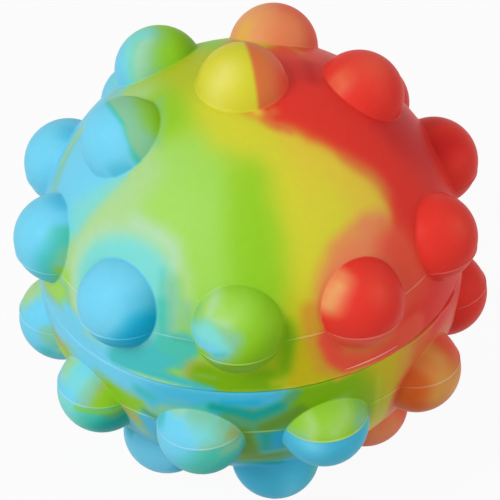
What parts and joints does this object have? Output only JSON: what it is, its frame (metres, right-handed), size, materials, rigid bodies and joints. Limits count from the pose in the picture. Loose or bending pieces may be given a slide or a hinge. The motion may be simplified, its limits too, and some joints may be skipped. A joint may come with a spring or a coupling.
{
  "type": "pop bubble ball",
  "caption": "Hollow silicone hand ball of two bonded halves, covered in rings of domed bubbles that snap in and out when pressed.",
  "frame": {"origin": "centre of the ball, on the seam plane", "axes": "+Z along the line through the two pole bubbles, towards the half with the smooth window; -Y towards the front of the window; +X to the right seen from there"},
  "size_m": [0.066, 0.066, 0.07],
  "materials": {
    "upper_silicone": "satin moulded silicone, tie-dye colours",
    "lower_silicone": "satin moulded silicone, tie-dye colours",
    "bond": "translucent cured adhesive",
    "bubble_blue": "satin moulded silicone",
    "bubble_green": "satin moulded silicone",
    "bubble_yellow": "satin moulded silicone",
    "bubble_red": "satin moulded silicone"
  },
  "bodies": {
    "ball": {"upper_half": "upper_silicone", "lower_half": "lower_silicone", "seam_bond": "bond"},
    "upper_pole_bubble": {"upper_pole_bubble": "bubble_yellow"},
    "lower_pole_bubble": {"lower_pole_bubble": "bubble_yellow"},
    "upper_mid_bubble_1": {"upper_mid_bubble_1": "bubble_red"},
    "upper_mid_bubble_2": {"upper_mid_bubble_2": "bubble_red"},
    "upper_mid_bubble_3": {"upper_mid_bubble_3": "bubble_blue"},
    "upper_mid_bubble_4": {"upper_mid_bubble_4": "bubble_blue"},
    "upper_rim_bubble_1": {"upper_rim_bubble_1": "bubble_red"},
    "upper_rim_bubble_2": {"upper_rim_bubble_2": "bubble_red"},
    "upper_rim_bubble_3": {"upper_rim_bubble_3": "bubble_green"},
    "upper_rim_bubble_4": {"upper_rim_bubble_4": "bubble_green"},
    "upper_rim_bubble_5": {"upper_rim_bubble_5": "bubble_blue"},
    "upper_rim_bubble_6": {"upper_rim_bubble_6": "bubble_blue"},
    "upper_rim_bubble_7": {"upper_rim_bubble_7": "bubble_blue"},
    "upper_rim_bubble_8": {"upper_rim_bubble_8": "bubble_green"},
    "upper_rim_bubble_9": {"upper_rim_bubble_9": "bubble_red"},
    "upper_rim_bubble_10": {"upper_rim_bubble_10": "bubble_red"},
    "lower_mid_bubble_1": {"lower_mid_bubble_1": "bubble_red"},
    "lower_mid_bubble_2": {"lower_mid_bubble_2": "bubble_green"},
    "lower_mid_bubble_3": {"lower_mid_bubble_3": "bubble_blue"},
    "lower_mid_bubble_4": {"lower_mid_bubble_4": "bubble_blue"},
    "lower_mid_bubble_5": {"lower_mid_bubble_5": "bubble_blue"},
    "lower_mid_bubble_6": {"lower_mid_bubble_6": "bubble_red"},
    "lower_rim_bubble_1": {"lower_rim_bubble_1": "bubble_red"},
    "lower_rim_bubble_2": {"lower_rim_bubble_2": "bubble_green"},
    "lower_rim_bubble_3": {"lower_rim_bubble_3": "bubble_green"},
    "lower_rim_bubble_4": {"lower_rim_bubble_4": "bubble_blue"},
    "lower_rim_bubble_5": {"lower_rim_bubble_5": "bubble_blue"},
    "lower_rim_bubble_6": {"lower_rim_bubble_6": "bubble_blue"},
    "lower_rim_bubble_7": {"lower_rim_bubble_7": "bubble_blue"},
    "lower_rim_bubble_8": {"lower_rim_bubble_8": "bubble_green"},
    "lower_rim_bubble_9": {"lower_rim_bubble_9": "bubble_red"},
    "lower_rim_bubble_10": {"lower_rim_bubble_10": "bubble_red"}
  },
  "joints": [
    {"name": "upper_pole_press", "type": "slide", "parent": "ball", "child": "upper_pole_bubble", "axis": [0, 0, -1], "range_m": [0, 0.01]},
    {"name": "lower_pole_press", "type": "slide", "parent": "ball", "child": "lower_pole_bubble", "axis": [0, 0, 1], "range_m": [0, 0.01]},
    {"name": "upper_mid_press_1", "type": "slide", "parent": "ball", "child": "upper_mid_bubble_1", "axis": [-0.5619, -0.1349, -0.8161], "range_m": [0, 0.01]},
    {"name": "upper_mid_press_2", "type": "slide", "parent": "ball", "child": "upper_mid_bubble_2", "axis": [-0.1641, -0.5541, -0.8161], "range_m": [0, 0.01]},
    {"name": "upper_mid_press_3", "type": "slide", "parent": "ball", "child": "upper_mid_bubble_3", "axis": [0.3978, -0.4192, -0.8161], "range_m": [0, 0.01]},
    {"name": "upper_mid_press_4", "type": "slide", "parent": "ball", "child": "upper_mid_bubble_4", "axis": [0.5619, 0.1349, -0.8161], "range_m": [0, 0.01]},
    {"name": "upper_rim_press_1", "type": "slide", "parent": "ball", "child": "upper_rim_bubble_1", "axis": [-0.9221, -0.2214, -0.3173], "range_m": [0, 0.01]},
    {"name": "upper_rim_press_2", "type": "slide", "parent": "ball", "child": "upper_rim_bubble_2", "axis": [-0.6159, -0.7211, -0.3173], "range_m": [0, 0.01]},
    {"name": "upper_rim_press_3", "type": "slide", "parent": "ball", "child": "upper_rim_bubble_3", "axis": [-0.0744, -0.9454, -0.3173], "range_m": [0, 0.01]},
    {"name": "upper_rim_press_4", "type": "slide", "parent": "ball", "child": "upper_rim_bubble_4", "axis": [0.4955, -0.8086, -0.3173], "range_m": [0, 0.01]},
    {"name": "upper_rim_press_5", "type": "slide", "parent": "ball", "child": "upper_rim_bubble_5", "axis": [0.8761, -0.3629, -0.3173], "range_m": [0, 0.01]},
    {"name": "upper_rim_press_6", "type": "slide", "parent": "ball", "child": "upper_rim_bubble_6", "axis": [0.9221, 0.2214, -0.3173], "range_m": [0, 0.01]},
    {"name": "upper_rim_press_7", "type": "slide", "parent": "ball", "child": "upper_rim_bubble_7", "axis": [0.6159, 0.7211, -0.3173], "range_m": [0, 0.01]},
    {"name": "upper_rim_press_8", "type": "slide", "parent": "ball", "child": "upper_rim_bubble_8", "axis": [0.0744, 0.9454, -0.3173], "range_m": [0, 0.01]},
    {"name": "upper_rim_press_9", "type": "slide", "parent": "ball", "child": "upper_rim_bubble_9", "axis": [-0.4955, 0.8086, -0.3173], "range_m": [0, 0.01]},
    {"name": "upper_rim_press_10", "type": "slide", "parent": "ball", "child": "upper_rim_bubble_10", "axis": [-0.8761, 0.3629, -0.3173], "range_m": [0, 0.01]},
    {"name": "lower_mid_press_1", "type": "slide", "parent": "ball", "child": "lower_mid_bubble_1", "axis": [-0.4615, -0.3478, 0.8161], "range_m": [0, 0.01]},
    {"name": "lower_mid_press_2", "type": "slide", "parent": "ball", "child": "lower_mid_bubble_2", "axis": [0.0704, -0.5736, 0.8161], "range_m": [0, 0.01]},
    {"name": "lower_mid_press_3", "type": "slide", "parent": "ball", "child": "lower_mid_bubble_3", "axis": [0.5319, -0.2258, 0.8161], "range_m": [0, 0.01]},
    {"name": "lower_mid_press_4", "type": "slide", "parent": "ball", "child": "lower_mid_bubble_4", "axis": [0.4615, 0.3478, 0.8161], "range_m": [0, 0.01]},
    {"name": "lower_mid_press_5", "type": "slide", "parent": "ball", "child": "lower_mid_bubble_5", "axis": [-0.0704, 0.5736, 0.8161], "range_m": [0, 0.01]},
    {"name": "lower_mid_press_6", "type": "slide", "parent": "ball", "child": "lower_mid_bubble_6", "axis": [-0.5319, 0.2258, 0.8161], "range_m": [0, 0.01]},
    {"name": "lower_rim_press_1", "type": "slide", "parent": "ball", "child": "lower_rim_bubble_1", "axis": [-0.7574, -0.5707, 0.3173], "range_m": [0, 0.01]},
    {"name": "lower_rim_press_2", "type": "slide", "parent": "ball", "child": "lower_rim_bubble_2", "axis": [-0.2773, -0.9069, 0.3173], "range_m": [0, 0.01]},
    {"name": "lower_rim_press_3", "type": "slide", "parent": "ball", "child": "lower_rim_bubble_3", "axis": [0.3087, -0.8967, 0.3173], "range_m": [0, 0.01]},
    {"name": "lower_rim_press_4", "type": "slide", "parent": "ball", "child": "lower_rim_bubble_4", "axis": [0.7768, -0.5439, 0.3173], "range_m": [0, 0.01]},
    {"name": "lower_rim_press_5", "type": "slide", "parent": "ball", "child": "lower_rim_bubble_5", "axis": [0.9482, 0.0166, 0.3173], "range_m": [0, 0.01]},
    {"name": "lower_rim_press_6", "type": "slide", "parent": "ball", "child": "lower_rim_bubble_6", "axis": [0.7574, 0.5707, 0.3173], "range_m": [0, 0.01]},
    {"name": "lower_rim_press_7", "type": "slide", "parent": "ball", "child": "lower_rim_bubble_7", "axis": [0.2773, 0.9069, 0.3173], "range_m": [0, 0.01]},
    {"name": "lower_rim_press_8", "type": "slide", "parent": "ball", "child": "lower_rim_bubble_8", "axis": [-0.3087, 0.8967, 0.3173], "range_m": [0, 0.01]},
    {"name": "lower_rim_press_9", "type": "slide", "parent": "ball", "child": "lower_rim_bubble_9", "axis": [-0.7768, 0.5439, 0.3173], "range_m": [0, 0.01]},
    {"name": "lower_rim_press_10", "type": "slide", "parent": "ball", "child": "lower_rim_bubble_10", "axis": [-0.9482, -0.0166, 0.3173], "range_m": [0, 0.01]}
  ]
}
